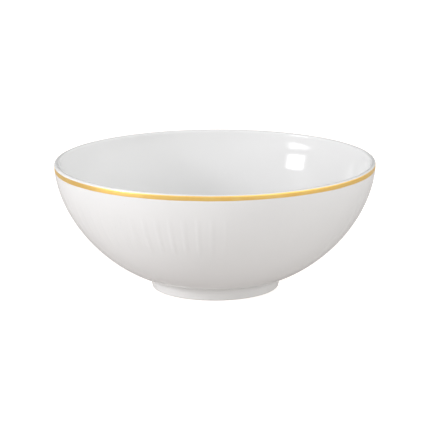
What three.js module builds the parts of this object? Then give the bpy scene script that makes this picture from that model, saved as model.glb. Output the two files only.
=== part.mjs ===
// Footed porcelain serving bowl with a fired gold line round the outside of its rim.
//
// Units are millimetres, +Z is up, and the origin is the centre of the standing ring's plane.
// The bowl is a body of revolution about Z. It is built as it is made: a round-bottomed
// shell, a foot ring stuck under it with casting slip, and a gold line laid on the glaze.
import * as THREE from "three";

// ---- driving dimensions ------------------------------------------------------------------
const HEIGHT = 92.0; // standing plane to the crest of the lip
const WALL_R = 114.8; // greatest radius of the porcelain, just under the lip
const LIP_R = 1.55; // the lip is a full round of this radius
const FLOOR_UNDER_Z = 5.0; // underside of the floor on the axis, above the table
const FLOOR_TOP_Z = 9.6; // inside of the floor on the axis, so the floor is 4.6 thick there
const INSIDE_LEAN_DEG = 3.5; // lean of the inside where it meets the lip's round
const JOIN_R = 49.4; // radius where the wall's curve becomes the underside's
const JOIN_Z = 9.1; // height of that point
const SLIP_T = 0.45; // thickness of the slip between the shell and the foot ring
const FOOT_OUT_BOTTOM_R = 45.5; // outside of the foot ring above its rounded bottom edge
const FOOT_OUT_MID = [46.35, 5.2]; // outside of the foot ring where the slip fillet starts
const FOOT_OUT_TOP_R = 47.0; // outside of the foot ring's top face
const FOOT_IN_BOTTOM_R = 40.9; // inside of the foot ring above its rounded bottom edge
const FOOT_IN_MID = [40.45, 5.0]; // inside of the foot ring where the inner slip fillet starts
const FOOT_IN_TOP_R = 40.2; // inside of the foot ring's top face
const FOOT_EDGE = 1.15; // rounding of the two bottom edges of the foot ring
const FILLET_OUT_R = 51.0; // where the outer slip fillet runs out on the shell
const FILLET_IN_R = 36.6; // where the inner slip fillet runs out on the shell
const FILLET_OUT_KNEE = [47.05, 8.6]; // the corner that the outer slip fillet rounds off
const FILLET_IN_KNEE = [39.9, 7.3]; // the corner that the inner slip fillet rounds off
const GOLD_T = 0.2; // thickness of the gold line
const GOLD_DOWN = 3.65; // lower edge of the gold line, below the crest of the lip
const GOLD_LIP_DEG = 45; // upper edge of the gold line, on the lip's round
const INSIDE_STEPS = 24; // rows of facets down the inside
const SEGMENTS = 64; // facets round the axis

// ---- curves in the (radius, height) plane ------------------------------------------------
const V = (r, z) => new THREE.Vector2(r, z);

// Bezier curve of any degree through its control points.
class Bezier extends THREE.Curve {
  constructor(points) {
    super();
    this.p = points;
  }
  getPoint(t, target = new THREE.Vector2()) {
    let q = this.p.map((v) => v.clone());
    while (q.length > 1)
      q = q.slice(1).map((v, i) => q[i].clone().lerp(v, t));
    return target.copy(q[0]);
  }
}

// Outside of the wall from the lip down to JOIN, upright at the top and shallow at the foot.
const wallKnee = V(60.4, 10.93);
const wall = new Bezier([
  V(WALL_R, HEIGHT - LIP_R),
  V(WALL_R, 78.1),
  V(108.3, 34.6),
  wallKnee,
  V(JOIN_R, JOIN_Z),
]);
// Underside from JOIN to the axis, tangent to the wall at JOIN and level on the axis.
const slope = (wallKnee.y - JOIN_Z) / (wallKnee.x - JOIN_R);
const underside = new Bezier([
  V(JOIN_R, JOIN_Z),
  V(JOIN_R - (JOIN_Z - FLOOR_UNDER_Z) / slope, FLOOR_UNDER_Z),
  V(0, FLOOR_UNDER_Z),
]);

// The lip's round, whose inner end leans as the inside of the wall does.
const lipCentre = V(WALL_R - LIP_R, HEIGHT - LIP_R);
const lipPoint = (deg) => {
  const a = THREE.MathUtils.degToRad(deg);
  const n = V(Math.cos(a), Math.sin(a));
  return { p: lipCentre.clone().addScaledVector(n, LIP_R), n };
};
const lipEnd = lipPoint(180 - INSIDE_LEAN_DEG);

// Inside from the lip to the axis, level in the middle of the floor. The wall keeps close to
// 3.3 down to the curve into the floor, which is 4.6 thick.
const lean = THREE.MathUtils.degToRad(INSIDE_LEAN_DEG);
const inside = new Bezier([
  lipEnd.p,
  lipEnd.p.clone().addScaledVector(V(-Math.sin(lean), -Math.cos(lean)), 55.8),
  V(50.12, 11.56),
  V(61.6, 13.35),
  V(31.46, FLOOR_TOP_Z),
  V(0, FLOOR_TOP_Z),
]);

// The parameter where a curve that falls along its length reaches a value of one coordinate.
function where(curve, axis, value) {
  let lo = 0,
    hi = 1;
  for (let i = 0; i < 60; i++) {
    const mid = (lo + hi) / 2;
    if (curve.getPoint(mid)[axis] > value) lo = mid;
    else hi = mid;
  }
  return (lo + hi) / 2;
}

// The unit normal of a falling curve that points out of the bowl.
function outward(curve, t) {
  const a = curve.getPoint(Math.max(0, t - 1e-4)),
    b = curve.getPoint(Math.min(1, t + 1e-4));
  return V(a.y - b.y, b.x - a.x).normalize();
}

// ---- the shell's outside, from the lip to the axis ---------------------------------------
const goldEnd = where(wall, "y", HEIGHT - GOLD_DOWN);
const wallStops = [
  0,
  goldEnd,
  0.1,
  0.17,
  0.24,
  0.31,
  0.38,
  0.45,
  0.52,
  0.59,
  0.66,
  0.73,
  0.8,
  0.87,
  where(wall, "x", 55),
  where(wall, "x", FILLET_OUT_R),
  1,
];
const underRadii = [FOOT_OUT_TOP_R, 43.6, FOOT_IN_TOP_R, FILLET_IN_R, 26, 14];
const underStops = [...underRadii.map((r) => where(underside, "x", r)), 1];

const outside = [
  ...wallStops.map((t) => wall.getPoint(t)),
  ...underStops.map((t) => underside.getPoint(t)),
];

// The lip's round, from the outside over the crest to the inside.
const lipAngles = [22.5, GOLD_LIP_DEG, 67.5, 90, 120, 150];
const lip = lipAngles.map(lipPoint);

// The point of the outside at a given radius.
const find = (r) => outside.find((p) => Math.abs(p.x - r) < 1e-6);

// ---- solids of revolution ----------------------------------------------------------------
const porcelain = new THREE.MeshStandardMaterial({
  name: "glazed_porcelain",
  color: 0xf1f0ee,
  roughness: 0.08,
  metalness: 0,
});
const gold = new THREE.MeshStandardMaterial({
  name: "gold_line",
  color: 0xe0ad4e,
  roughness: 0.16,
  metalness: 1,
});

function turned(name, profile, material) {
  const g = new THREE.LatheGeometry(profile, SEGMENTS);
  g.rotateX(Math.PI / 2); // the lathe turns about Y, the bowl about Z
  const mesh = new THREE.Mesh(g, material);
  mesh.name = name;
  return mesh;
}

// Shell: floor, wall and lip in one piece.
const bowlBody = turned(
  "bowl_body",
  [
    ...[...outside].reverse(),
    ...lip.map((l) => l.p),
    ...inside.getPoints(INSIDE_STEPS),
  ],
  porcelain,
);

// Foot ring: its top face follows the shell's underside, SLIP_T below it.
const seatRadii = [FOOT_OUT_TOP_R, 43.6, FOOT_IN_TOP_R];
const ringTop = seatRadii.map((r) => V(r, find(r).y - SLIP_T));
const e = FOOT_EDGE,
  k = 1 - Math.SQRT1_2;
const ringOutside = V(...FOOT_OUT_MID),
  ringInside = V(...FOOT_IN_MID);
const footRing = turned(
  "foot_ring",
  [
    V(FOOT_IN_BOTTOM_R + e, 0),
    V(FOOT_OUT_BOTTOM_R - e, 0),
    V(FOOT_OUT_BOTTOM_R - e * k, e * k),
    V(FOOT_OUT_BOTTOM_R, e),
    ringOutside,
    ...ringTop,
    ringInside,
    V(FOOT_IN_BOTTOM_R, e),
    V(FOOT_IN_BOTTOM_R + e * k, e * k),
    V(FOOT_IN_BOTTOM_R + e, 0),
  ],
  porcelain,
);

// Slip joint: a thin layer between ring and shell, wiped to a hollow fillet on both sides.
const outerFillet = new THREE.QuadraticBezierCurve(
  ringOutside,
  V(...FILLET_OUT_KNEE),
  find(FILLET_OUT_R),
);
const innerFillet = new THREE.QuadraticBezierCurve(
  find(FILLET_IN_R),
  V(...FILLET_IN_KNEE),
  ringInside,
);
const slip = turned(
  "foot_joint_slip",
  [
    ringOutside,
    outerFillet.getPoint(0.35),
    outerFillet.getPoint(0.7),
    find(FILLET_OUT_R),
    find(JOIN_R),
    find(FOOT_OUT_TOP_R),
    find(43.6),
    find(FOOT_IN_TOP_R),
    find(FILLET_IN_R),
    innerFillet.getPoint(0.35),
    innerFillet.getPoint(0.7),
    ringInside,
    ringTop[2],
    ringTop[1],
    ringTop[0],
    ringOutside,
  ],
  porcelain,
);

// Gold line: lies on the outside of the lip and the top of the wall.
const bandUnder = [
  { p: outside[1], n: outward(wall, goldEnd) },
  { p: outside[0], n: V(1, 0) },
  ...lip.filter((_, i) => lipAngles[i] <= GOLD_LIP_DEG),
];
const goldBand = turned(
  "gold_rim_band",
  [
    ...bandUnder.map(({ p, n }) => p.clone().addScaledVector(n, GOLD_T)),
    ...bandUnder.map(({ p }) => p.clone()).reverse(),
    bandUnder[0].p.clone().addScaledVector(bandUnder[0].n, GOLD_T),
  ],
  gold,
);

const bowl = new THREE.Group();
bowl.name = "serving_bowl";
bowl.add(bowlBody, slip, footRing, goldBand);
export default bowl;
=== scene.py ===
"""Footed porcelain serving bowl with a fired gold line: looks, stage, light and camera.

Everything is in metres in the part's own frame, +Z up, standing on z = 0.
"""

import math

import bmesh
import bpy
import numpy as np
from mathutils import Matrix, Quaternion, Vector


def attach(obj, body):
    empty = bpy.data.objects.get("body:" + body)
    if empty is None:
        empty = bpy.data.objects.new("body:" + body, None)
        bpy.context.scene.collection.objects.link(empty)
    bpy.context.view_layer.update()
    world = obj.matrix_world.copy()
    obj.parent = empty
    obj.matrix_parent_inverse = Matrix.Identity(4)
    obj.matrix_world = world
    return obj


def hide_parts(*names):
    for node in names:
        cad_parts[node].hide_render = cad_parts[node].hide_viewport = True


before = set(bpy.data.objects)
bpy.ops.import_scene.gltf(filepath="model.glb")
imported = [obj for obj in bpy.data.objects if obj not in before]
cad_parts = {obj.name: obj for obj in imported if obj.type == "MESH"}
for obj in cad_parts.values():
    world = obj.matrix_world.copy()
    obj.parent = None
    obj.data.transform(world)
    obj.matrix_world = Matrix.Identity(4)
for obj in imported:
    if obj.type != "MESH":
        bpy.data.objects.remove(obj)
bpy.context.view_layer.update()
scene = bpy.context.scene

# ---- the CAD's profile curves, in millimetres (radius, height) ---------------------------
HEIGHT, WALL_R, LIP_R = 92.0, 114.8, 1.55
JOIN = (49.4, 9.1)
KNEE = (60.4, 10.93)
FLOOR_UNDER_Z, FLOOR_TOP_Z = 5.0, 9.6
INSIDE_LEAN = math.radians(3.5)
FOOT_OUT_BOTTOM_R, FOOT_OUT_MID, FOOT_OUT_TOP_R = 45.5, (46.35, 5.2), 47.0
FOOT_IN_BOTTOM_R, FOOT_IN_MID, FOOT_IN_TOP_R = 40.9, (40.45, 5.0), 40.2
FOOT_EDGE, SLIP_T = 1.15, 0.45
FILLET_OUT_R, FILLET_OUT_KNEE = 51.0, (47.05, 8.6)
FILLET_IN_R, FILLET_IN_KNEE = 36.6, (39.9, 7.3)
SEGMENTS = 720  # ten to each rib

# relief ribs on the outside of the wall
RIBS = 72
RIB_HEIGHT = 0.28  # mm, where the relief is crispest
RIB_SIGMA = math.radians(0.52)
RIB_PHASE = math.radians(-1.1)
RIB_CRISP_AT, RIB_CRISP_SPREAD = math.radians(19), math.radians(23)
RIB_TOP, RIB_FULL_TOP, RIB_FULL_BOTTOM, RIB_BOTTOM = 13.5, 20.0, 40.0, 52.0  # mm along the wall

# gold line: its upper and lower edges below the crest, in mm, vary slowly round the rim
GOLD_WIDTH = 3.40
GOLD_PROUD = 0.03


def bezier(points, t):
    points = np.array(points, float)
    t = np.asarray(t, float)[..., None]
    n = len(points) - 1
    return sum(
        math.comb(n, k) * t**k * (1 - t) ** (n - k) * points[k] for k in range(n + 1)
    )


WALL = [
    (WALL_R, HEIGHT - LIP_R),
    (WALL_R, 78.1),
    (108.3, 34.6),
    KNEE,
    JOIN,
]
SLOPE = (KNEE[1] - JOIN[1]) / (KNEE[0] - JOIN[0])
UNDER = [
    JOIN,
    (JOIN[0] - (JOIN[1] - FLOOR_UNDER_Z) / SLOPE, FLOOR_UNDER_Z),
    (0, FLOOR_UNDER_Z),
]
LIP_CENTRE = np.array([WALL_R - LIP_R, HEIGHT - LIP_R])


def lip_point(degrees, radius=LIP_R):
    a = math.radians(degrees)
    return LIP_CENTRE + radius * np.array([math.cos(a), math.sin(a)])


LIP_END = lip_point(180 - math.degrees(INSIDE_LEAN))
INSIDE = [
    tuple(LIP_END),
    tuple(LIP_END + 55.8 * np.array([-math.sin(INSIDE_LEAN), -math.cos(INSIDE_LEAN)])),
    (50.12, 11.56),
    (61.6, 13.35),
    (31.46, FLOOR_TOP_Z),
    (0, FLOOR_TOP_Z),
]


def by_length(points, steps, power=1.0):
    """Points along a Bezier curve, evenly spaced by length."""
    fine = bezier(points, np.linspace(0, 1, 2001))
    s = np.r_[0, np.cumsum(np.hypot(*np.diff(fine, axis=0).T))]
    want = np.linspace(0, 1, steps + 1) ** power * s[-1]
    return np.c_[np.interp(want, s, fine[:, 0]), np.interp(want, s, fine[:, 1])]


def at_radius(points, r):
    fine = bezier(points, np.linspace(0, 1, 4001))
    i = int(np.argmin(abs(fine[:, 0] - r)))
    return fine[i]


# ---- meshes ------------------------------------------------------------------------------
def add_mesh(name, verts, faces, material_ids=None, sharp=None):
    mesh = bpy.data.meshes.new(name)
    mesh.from_pydata([tuple(v) for v in verts], [], faces)
    mesh.validate()
    mesh.polygons.foreach_set("use_smooth", [True] * len(mesh.polygons))
    if material_ids is not None:
        mesh.polygons.foreach_set("material_index", material_ids)
    bm = bmesh.new()
    bm.from_mesh(mesh)
    bmesh.ops.recalc_face_normals(bm, faces=bm.faces)
    if bm.calc_volume(signed=True) < 0:
        bmesh.ops.reverse_faces(bm, faces=bm.faces)
    if sharp is not None:
        for e in bm.edges:
            if len(e.link_faces) == 2 and e.calc_face_angle(0) > sharp:
                e.smooth = False
    bm.to_mesh(mesh)
    bm.free()
    mesh.update()
    obj = bpy.data.objects.new(name, mesh)
    scene.collection.objects.link(obj)
    return obj


def turned(name, profile, closed, segments=SEGMENTS, move=None, material_of=None, sharp=None):
    """A solid of revolution of a profile in mm. closed says that the profile is a loop; an
    open one starts and ends on the axis. move(r, z, angles) may change the rows."""
    profile = np.asarray(profile, float)
    angles = np.arange(segments) * 2 * math.pi / segments
    verts, rows = [], []
    for i, (r, z) in enumerate(profile):
        if r < 1e-6:
            rows.append([len(verts)])
            verts.append((0.0, 0.0, z / 1000))
            continue
        rr, zz = (move(i, r, z, angles) if move else (np.full(segments, r), np.full(segments, z)))
        rows.append(list(range(len(verts), len(verts) + segments)))
        verts.extend(
            zip(rr * np.cos(angles) / 1000, rr * np.sin(angles) / 1000, zz / 1000)
        )
    faces, ids = [], []
    pairs = list(zip(range(len(rows) - 1), range(1, len(rows))))
    if closed:
        pairs.append((len(rows) - 1, 0))
    for i, j in pairs:
        a, b = rows[i], rows[j]
        m = material_of(i) if material_of else 0
        for k in range(segments):
            n = (k + 1) % segments
            if len(a) == 1:
                faces.append((a[0], b[n], b[k]))
            elif len(b) == 1:
                faces.append((a[k], a[n], b[0]))
            else:
                faces.append((a[k], a[n], b[n], b[k]))
            ids.append(m)
    return add_mesh(name, verts, faces, ids, sharp)


def smooth01(x):
    x = np.clip(x, 0, 1)
    return x * x * (3 - 2 * x)


# Body: underside from the axis out, wall up to the lip, over the lip, and down the inside.
wall_rows = by_length(WALL, 74)
under_rows = by_length(UNDER, 14)
lip_rows = np.array([lip_point(a) for a in np.linspace(0, 180 - math.degrees(INSIDE_LEAN), 19)])[1:-1]
inside_rows = by_length(INSIDE, 52)
outside_rows = np.r_[under_rows[::-1][:-1], wall_rows[::-1]]
profile = np.r_[outside_rows, lip_rows, inside_rows]
wall_first = len(under_rows) - 1
wall_last = wall_first + len(wall_rows) - 1
wall_s = np.r_[0, np.cumsum(np.hypot(*np.diff(wall_rows, axis=0).T))][::-1]


def wall_normal(i):
    a, b = profile[max(i - 1, 0)], profile[min(i + 1, len(profile) - 1)]
    d = b - a
    n = np.array([d[1], -d[0]])
    return n / np.hypot(*n)


def lift_ribs(i, r, z, angles):
    if not wall_first <= i <= wall_last:
        return np.full(len(angles), r), np.full(len(angles), z)
    s = wall_s[i - wall_first]
    fade = smooth01((s - RIB_TOP) / (RIB_FULL_TOP - RIB_TOP)) * smooth01(
        (RIB_BOTTOM - s) / (RIB_BOTTOM - RIB_FULL_BOTTOM)
    )
    # angle round the bowl measured from the front (-Y) towards +X
    az = angles + math.pi / 2
    pitch = 2 * math.pi / RIBS
    d = (az - RIB_PHASE + pitch / 2) % pitch - pitch / 2
    # the ribs come out crispest on one side of the mould and are all but worn away on the rest
    off = (az + RIB_CRISP_AT + math.pi) % (2 * math.pi) - math.pi
    crisp = 0.15 + 0.85 * np.exp(-((off / RIB_CRISP_SPREAD) ** 4))
    h = RIB_HEIGHT * crisp * fade * np.exp(-(d**2) / (2 * RIB_SIGMA**2))
    n = wall_normal(i)
    return r + n[0] * h, z + n[1] * h


body = turned("glazed_bowl_body", profile, False, move=lift_ribs)

# Foot ring with its dry standing edge, and the slip joint with its two wiped fillets.
seat = [at_radius(UNDER, r) for r in (FOOT_OUT_TOP_R, 43.6, FOOT_IN_TOP_R)]
e = FOOT_EDGE
ring = []
for a in np.linspace(0, 90, 9):  # outer edge, from the flat up to the outside
    ring.append(
        (
            FOOT_OUT_BOTTOM_R - e + e * math.sin(math.radians(a)),
            e - e * math.cos(math.radians(a)),
        )
    )
n_edge = len(ring)
out_mid, in_mid = np.array(FOOT_OUT_MID), np.array(FOOT_IN_MID)
ring += [tuple(np.array(ring[-1]) * (1 - t) + out_mid * t) for t in (0.2, 0.4, 0.6, 0.8, 1)]
ring += [(p[0], p[1] - SLIP_T) for p in seat]
ring += [tuple(in_mid)]
inner_edge = [
    (
        FOOT_IN_BOTTOM_R + e - e * math.sin(math.radians(a)),
        e - e * math.cos(math.radians(a)),
    )
    for a in np.linspace(90, 0, 9)
]
first_inner = np.array(inner_edge[0])
ring += [tuple(in_mid * (1 - t) + first_inner * t) for t in (0.33, 0.67)]
ring += inner_edge
ring_n = len(ring)


def ring_material(i):
    # the flat and the lowest part of both rounded edges are left unglazed
    return 1 if (i < 5 or i >= ring_n - 5) else 0


foot = turned("glazed_foot_ring", ring, True, segments=360, sharp=math.radians(50), material_of=ring_material)

out_fillet = bezier([FOOT_OUT_MID, FILLET_OUT_KNEE, at_radius(WALL, FILLET_OUT_R)], np.linspace(0, 1, 13))
in_fillet = bezier([at_radius(UNDER, FILLET_IN_R), FILLET_IN_KNEE, FOOT_IN_MID], np.linspace(0, 1, 11))
slip_profile = (
    [tuple(p) for p in out_fillet]
    + [JOIN]
    + [tuple(p) for p in seat]
    + [tuple(p) for p in in_fillet]
    + [(p[0], p[1] - SLIP_T) for p in seat[::-1]]
)
slip = turned("glazed_foot_joint", slip_profile, True, segments=360, sharp=math.radians(35))


# Gold line, laid on the glaze from the lip's round down onto the wall.
def gold_top(az):
    return (
        1.30
        - 0.42 * np.sin(az)
        - 0.28 * np.cos(az)
        - 0.27 * np.cos(2 * az)
        + 0.035 * np.sin(9 * az + 0.6)
        + 0.025 * np.sin(23 * az + 2.1)
        + 0.018 * np.sin(41 * az + 4.0)
    )


def gold_bottom(az):
    return (
        gold_top(az)
        + GOLD_WIDTH
        + 0.05 * np.sin(5 * az + 1.3)
        + 0.03 * np.sin(17 * az + 0.4)
        + 0.02 * np.sin(37 * az + 3.1)
    )


# the line's path: from the crest outwards over the lip and down the wall, by depth below the crest
path = np.r_[
    np.array([lip_point(a) for a in np.linspace(90, 0, 40)]),
    bezier(WALL, np.linspace(0, 0.2, 200))[1:],
]
path_t = np.gradient(path, axis=0)
path_n = np.c_[-path_t[:, 1], path_t[:, 0]] / np.hypot(*path_t.T)[:, None]
path_d = HEIGHT - path[:, 1]
GOLD_ROWS = 12
gold_angles = np.arange(SEGMENTS) * 2 * math.pi / SEGMENTS
gold_verts = []
shares = np.linspace(0, 1, GOLD_ROWS + 1)
for share in shares:
    az = gold_angles + math.pi / 2
    depth = gold_top(az) * (1 - share) + gold_bottom(az) * share
    lift = GOLD_PROUD * smooth01(np.minimum(share, 1 - share) / 0.12) + 0.004
    r = np.interp(depth, path_d, path[:, 0]) + lift * np.interp(depth, path_d, path_n[:, 0])
    z = np.interp(depth, path_d, path[:, 1]) + lift * np.interp(depth, path_d, path_n[:, 1])
    gold_verts.append(np.c_[r * np.cos(gold_angles), r * np.sin(gold_angles), z] / 1000)
for share in shares[::-1]:
    az = gold_angles + math.pi / 2
    depth = gold_top(az) * (1 - share) + gold_bottom(az) * share
    r = np.interp(depth, path_d, path[:, 0]) - 0.04 * np.interp(depth, path_d, path_n[:, 0])
    z = np.interp(depth, path_d, path[:, 1]) - 0.04 * np.interp(depth, path_d, path_n[:, 1])
    gold_verts.append(np.c_[r * np.cos(gold_angles), r * np.sin(gold_angles), z] / 1000)
rows = len(gold_verts)
gold_faces = []
for i in range(rows):
    j = (i + 1) % rows
    for k in range(SEGMENTS):
        n = (k + 1) % SEGMENTS
        gold_faces.append(
            (i * SEGMENTS + k, i * SEGMENTS + n, j * SEGMENTS + n, j * SEGMENTS + k)
        )
gold = add_mesh("fired_gold_line", np.concatenate(gold_verts), gold_faces, sharp=math.radians(60))


# ---- materials ---------------------------------------------------------------------------
def new_material(name):
    m = bpy.data.materials.new(name)
    m.use_nodes = True
    nt = m.node_tree
    return m, nt, nt.nodes["Principled BSDF"]


def node(nt, kind, at=(0, 0), **props):
    n = nt.nodes.new(kind)
    n.location = at
    for k, v in props.items():
        setattr(n, k, v)
    return n


def noise(nt, coords, scale, detail=2.0, roughness=0.5):
    n = node(nt, "ShaderNodeTexNoise")
    n.inputs["Scale"].default_value = scale
    n.inputs["Detail"].default_value = detail
    n.inputs["Roughness"].default_value = roughness
    nt.links.new(coords, n.inputs["Vector"])
    return n


def ramp(nt, source, stops):
    n = node(nt, "ShaderNodeValToRGB")
    el = n.color_ramp.elements
    while len(el) < len(stops):
        el.new(0.5)
    for i, (p, c) in enumerate(stops):
        el[i].position = p
        el[i].color = (*c, 1) if len(c) == 3 else c
    nt.links.new(source, n.inputs["Fac"])
    return n


def maths(nt, op, a, b=None, clamp=False):
    n = node(nt, "ShaderNodeMath", operation=op, use_clamp=clamp)
    for i, v in enumerate((a, b)):
        if v is None:
            continue
        if isinstance(v, (int, float)):
            n.inputs[i].default_value = v
        else:
            nt.links.new(v, n.inputs[i])
    return n.outputs[0]


def mix_colour(nt, fac, a, b):
    n = node(nt, "ShaderNodeMix", data_type="RGBA")
    if isinstance(fac, (int, float)):
        n.inputs[0].default_value = fac
    else:
        nt.links.new(fac, n.inputs[0])
    for i, v in ((6, a), (7, b)):
        if isinstance(v, tuple):
            n.inputs[i].default_value = (*v, 1)
        else:
            nt.links.new(v, n.inputs[i])
    return n.outputs[2]


PORCELAIN = (0.800, 0.800, 0.797)


def porcelain_material():
    m, nt, bsdf = new_material("glazed_porcelain")
    co = node(nt, "ShaderNodeTexCoord").outputs["Object"]
    # slow drift of tone in the body
    drift = noise(nt, co, 14, 3, 0.55)
    tone = ramp(
        nt,
        drift.outputs["Fac"],
        [
            (0.30, tuple(c * 0.985 for c in PORCELAIN)),
            (0.70, tuple(min(1, c * 1.012) for c in PORCELAIN)),
        ],
    )
    # glaze pools a little cooler and darker round the foot and in the middle of the floor
    sep = node(nt, "ShaderNodeSeparateXYZ")
    nt.links.new(co, sep.inputs[0])
    pool = node(nt, "ShaderNodeMapRange", interpolation_type="SMOOTHSTEP")
    nt.links.new(sep.outputs["Z"], pool.inputs["Value"])
    pool.inputs["From Min"].default_value = 0.0125
    pool.inputs["From Max"].default_value = 0.0055
    pool.inputs["To Min"].default_value = 0.0
    pool.inputs["To Max"].default_value = 0.55
    colour = mix_colour(nt, pool.outputs[0], tone.outputs[0], (0.775, 0.773, 0.766))
    # a few faint grey specks under the glaze
    cells = node(nt, "ShaderNodeTexVoronoi", feature="F1")
    cells.inputs["Scale"].default_value = 55
    nt.links.new(co, cells.inputs["Vector"])
    speck = maths(nt, "LESS_THAN", cells.outputs["Distance"], 0.018)
    colour = mix_colour(nt, maths(nt, "MULTIPLY", speck, 0.22), colour, (0.52, 0.49, 0.45))
    nt.links.new(colour, bsdf.inputs["Base Color"])
    # gloss: even, with slightly duller patches where the glaze is thin
    rough = ramp(
        nt,
        noise(nt, co, 45, 3, 0.6).outputs["Fac"],
        [(0.35, (0.055,) * 3), (0.75, (0.095,) * 3)],
    )
    nt.links.new(rough.outputs[0], bsdf.inputs["Roughness"])
    bsdf.inputs["IOR"].default_value = 1.5
    bsdf.inputs["Specular IOR Level"].default_value = 0.5
    # glaze surface: long soft waves from the throwing, and a very fine ripple
    waves = noise(nt, co, 38, 2, 0.4)
    ripple = noise(nt, co, 420, 2, 0.5)
    height = maths(
        nt,
        "ADD",
        maths(nt, "MULTIPLY", waves.outputs["Fac"], 1.0),
        maths(nt, "MULTIPLY", ripple.outputs["Fac"], 0.035),
    )
    bump = node(nt, "ShaderNodeBump")
    bump.inputs["Strength"].default_value = 1.0
    bump.inputs["Distance"].default_value = 0.00012
    nt.links.new(height, bump.inputs["Height"])
    nt.links.new(bump.outputs[0], bsdf.inputs["Normal"])
    return m


def bisque_material():
    m, nt, bsdf = new_material("unglazed_foot_edge")
    co = node(nt, "ShaderNodeTexCoord").outputs["Object"]
    grain = noise(nt, co, 900, 4, 0.7)
    patch = noise(nt, co, 60, 3, 0.6)
    colour = mix_colour(
        nt,
        patch.outputs["Fac"],
        ramp(nt, grain.outputs["Fac"], [(0.3, (0.60, 0.585, 0.555)), (0.7, (0.74, 0.73, 0.70))]).outputs[0],
        (0.70, 0.675, 0.63),
    )
    nt.links.new(colour, bsdf.inputs["Base Color"])
    nt.links.new(
        ramp(nt, grain.outputs["Fac"], [(0.3, (0.62,) * 3), (0.7, (0.85,) * 3)]).outputs[0],
        bsdf.inputs["Roughness"],
    )
    bump = node(nt, "ShaderNodeBump")
    bump.inputs["Strength"].default_value = 0.8
    bump.inputs["Distance"].default_value = 0.00006
    nt.links.new(grain.outputs["Fac"], bump.inputs["Height"])
    nt.links.new(bump.outputs[0], bsdf.inputs["Normal"])
    return m


def gold_material():
    m, nt, bsdf = new_material("fired_gold")
    co = node(nt, "ShaderNodeTexCoord").outputs["Object"]
    thick = noise(nt, co, 70, 4, 0.6)
    colour = ramp(
        nt,
        thick.outputs["Fac"],
        [(0.30, (1.0, 0.640, 0.185)), (0.55, (1.0, 0.690, 0.225)), (0.75, (1.0, 0.735, 0.265))],
    )
    nt.links.new(colour.outputs[0], bsdf.inputs["Base Color"])
    bsdf.inputs["Metallic"].default_value = 1.0
    rough = ramp(
        nt,
        noise(nt, co, 60, 3, 0.55).outputs["Fac"],
        [(0.3, (0.32,) * 3), (0.7, (0.42,) * 3)],
    )
    nt.links.new(rough.outputs[0], bsdf.inputs["Roughness"])
    # brush marks run round the rim: noise stretched along the angle
    sep = node(nt, "ShaderNodeSeparateXYZ")
    nt.links.new(co, sep.inputs[0])
    angle = maths(nt, "ARCTAN2", sep.outputs["Y"], sep.outputs["X"])
    comb = node(nt, "ShaderNodeCombineXYZ")
    nt.links.new(maths(nt, "MULTIPLY", angle, 0.004), comb.inputs["X"])
    nt.links.new(sep.outputs["Z"], comb.inputs["Z"])
    streak = noise(nt, comb.outputs[0], 2600, 3, 0.6)
    bump = node(nt, "ShaderNodeBump")
    bump.inputs["Strength"].default_value = 0.35
    bump.inputs["Distance"].default_value = 0.00002
    nt.links.new(streak.outputs["Fac"], bump.inputs["Height"])
    nt.links.new(bump.outputs[0], bsdf.inputs["Normal"])
    return m


porcelain, bisque, fired_gold = porcelain_material(), bisque_material(), gold_material()
body.data.materials.append(porcelain)
slip.data.materials.append(porcelain)
foot.data.materials.append(porcelain)
foot.data.materials.append(bisque)
gold.data.materials.append(fired_gold)

for piece, cad, slot_name in (
    (body, "bowl_body", "porcelain"),
    (foot, "foot_ring", "porcelain"),
    (slip, "foot_joint_slip", "porcelain"),
    (gold, "gold_rim_band", "gold"),
):
    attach(piece, "root")
    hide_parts(cad)

# ---- stage -------------------------------------------------------------------------------
floor_mesh = bpy.data.meshes.new("studio_floor")
floor_mesh.from_pydata([(-6, -6, 0), (6, -6, 0), (6, 6, 0), (-6, 6, 0)], [], [(0, 1, 2, 3)])
floor = bpy.data.objects.new("studio_floor", floor_mesh)
scene.collection.objects.link(floor)
fm, fnt, fb = new_material("studio_floor")
fb.inputs["Base Color"].default_value = (0.524, 0.497, 0.481, 1)
fb.inputs["Roughness"].default_value = 0.6
fb.inputs["Specular IOR Level"].default_value = 0.2
fb.inputs["Emission Color"].default_value = (1.0, 0.978, 0.960, 1)
# the sweep is lit from under as well: to the eye it is burnt out to white
seen = node(fnt, "ShaderNodeLightPath").outputs["Is Camera Ray"]
fnt.links.new(
    maths(fnt, "ADD", maths(fnt, "MULTIPLY", seen, 0.64), 0.161), fb.inputs["Emission Strength"]
)
floor.data.materials.append(fm)

# Studio dome: brightness by azimuth (-180 to 180 in steps of 45 degrees, 0 at the camera's
# side) at the horizon, at 25 and at 60 degrees up, and at the top.
DOME_HORIZON = [0.30, 0.65, 0.85, 0.64, 0.90, 1.54, 1.42, 0.88, 0.30]
DOME_25 = [0.20, 0.60, 0.92, 0.96, 1.18, 1.96, 1.44, 0.85, 0.20]
DOME_60 = [0.10, 0.29, 0.48, 0.435, 0.39, 0.755, 1.12, 0.61, 0.10]
DOME_TOP = 0.40
DOME_COLOUR = (1.0, 1.0, 1.0, 1)

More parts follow.
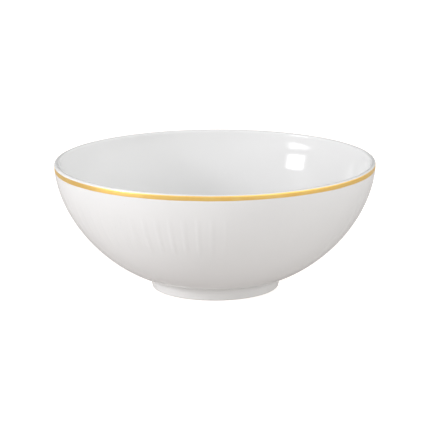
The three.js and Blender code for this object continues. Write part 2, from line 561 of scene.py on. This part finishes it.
world = bpy.data.worlds.new("studio")
world.use_nodes = True
scene.world = world
wnt = world.node_tree
sky = wnt.nodes["Background"]
wsep = node(wnt, "ShaderNodeSeparateXYZ")
wnt.links.new(node(wnt, "ShaderNodeTexCoord").outputs["Generated"], wsep.inputs[0])
turn = maths(
    wnt,
    "ARCTAN2",
    wsep.outputs["X"],
    maths(wnt, "MULTIPLY", wsep.outputs["Y"], -1.0),
)
turn = maths(wnt, "ADD", maths(wnt, "MULTIPLY", turn, 1 / (2 * math.pi)), 0.5)
lift = maths(wnt, "MULTIPLY", maths(wnt, "ARCSINE", wsep.outputs["Z"]), 2 / math.pi)


def hat(level, levels):
    """A ramp over elevation that is 1 at one level and 0 at the others."""
    return ramp(
        wnt, lift, [(e / 90, (1.0 if e == level else 0.0,) * 3) for e in levels]
    ).outputs[0]


levels = (0, 25, 60, 90)
total = maths(wnt, "MULTIPLY", hat(90, levels), DOME_TOP)
for level, row in zip(levels, (DOME_HORIZON, DOME_25, DOME_60)):
    # a ramp holds values up to 1, so the row is halved in it
    round_row = ramp(wnt, turn, [(i / 8, (v / 2,) * 3) for i, v in enumerate(row)]).outputs[0]
    band = maths(wnt, "MULTIPLY", maths(wnt, "MULTIPLY", round_row, 2.0), hat(level, levels))
    total = maths(wnt, "ADD", total, band)
# seen straight on, the backdrop is plain white
wseen = node(wnt, "ShaderNodeLightPath").outputs["Is Camera Ray"]
sky.inputs["Color"].default_value = DOME_COLOUR
wnt.links.new(maths(wnt, "MAXIMUM", total, wseen), sky.inputs["Strength"])


def softbox(name, az, el, distance, width, height, radiance, soft, roll=0, colour=(1, 1, 1)):
    """An area light seen from the bowl at an azimuth (0 is the camera's side, + is right) and
    an elevation, in degrees, facing the bowl. radiance is in units of white at its middle, and
    it falls to nothing at the edges over the shares soft of its width and height. roll turns it
    clockwise, in degrees, as the bowl sees it."""
    a, b = math.radians(az), math.radians(el)
    d = Vector((math.sin(a) * math.cos(b), -math.cos(a) * math.cos(b), math.sin(b)))
    light = bpy.data.lights.new(name, "AREA")
    light.shape = "RECTANGLE"
    light.size, light.size_y = width, height
    light.energy = radiance * math.pi * width * height
    light.color = colour
    light.use_nodes = True
    lnt = light.node_tree
    lsep = node(lnt, "ShaderNodeSeparateXYZ")
    lnt.links.new(node(lnt, "ShaderNodeNewGeometry").outputs["Parametric"], lsep.inputs[0])
    power = None
    for axis, share in zip(("X", "Y"), soft):
        edge = maths(lnt, "ABSOLUTE", maths(lnt, "SUBTRACT", lsep.outputs[axis], 0.5))
        fall = node(lnt, "ShaderNodeMapRange", interpolation_type="SMOOTHSTEP")
        lnt.links.new(edge, fall.inputs["Value"])
        fall.inputs["From Min"].default_value = 0.5
        fall.inputs["From Max"].default_value = 0.5 - share
        power = fall.outputs[0] if power is None else maths(lnt, "MULTIPLY", power, fall.outputs[0])
    lnt.links.new(power, lnt.nodes["Emission"].inputs["Strength"])
    obj = bpy.data.objects.new(name, light)
    obj.location = Vector((0, 0, 0.07)) + d * distance
    obj.rotation_euler = ((-d).to_track_quat("-Z", "Y") @ Quaternion((0, 0, 1), math.radians(roll))).to_euler()
    scene.collection.objects.link(obj)
    return obj


LIGHTS = {
    "key_window": dict(az=-69.8, el=20.8, distance=2.314, width=0.82, height=0.64, radiance=23.5, soft=(0.45, 0.16), roll=13, colour=(0.985, 0.98, 1)),
    "key_low": dict(az=-68.0, el=3.2, distance=2.306, width=1.10, height=0.44, radiance=8.4, soft=(0.4, 0.14), roll=13, colour=(0.975, 0.975, 1)),
    "side_glow": dict(az=-84, el=32, distance=2.45, width=1.60, height=1.10, radiance=0.9, soft=(0.5, 0.5)),
    "front_panel": dict(az=-28.4, el=15.1, distance=2.297, width=1.72, height=0.90, radiance=0.35, soft=(0.2, 0.2)),
}
for name, spec in LIGHTS.items():
    softbox(name, **spec)

# ---- camera ------------------------------------------------------------------------------
PHI, DIST, FOCAL_PX = 0.2310485, 1.840, 2556.56
AIM = Vector((0, 0, 0.0461))
TARGET_PX = (215.156, 222.605)
ROLL = 0.0045696
cam_data = bpy.data.cameras.new("camera")
cam_data.sensor_width = 36
cam_data.lens = FOCAL_PX / 430 * 36
cam_data.clip_start, cam_data.clip_end = 0.05, 50
cam = bpy.data.objects.new("camera", cam_data)
scene.collection.objects.link(cam)
cam.location = (0, -DIST * math.cos(PHI), AIM.z + DIST * math.sin(PHI))
fwd = (AIM - cam.location).normalized()
right = Vector((1, 0, 0))
up = right.cross(fwd)
right_r = right * math.cos(ROLL) - up * math.sin(ROLL)
up_r = right * math.sin(ROLL) + up * math.cos(ROLL)
rot = Matrix((right_r, up_r, -fwd)).transposed()
cam.rotation_euler = rot.to_euler()
cam_data.shift_x = -(TARGET_PX[0] - 215) / 430
cam_data.shift_y = (TARGET_PX[1] - 215) / 430
scene.camera = cam
scene.view_settings.view_transform = "Standard"
scene.view_settings.look = "None"
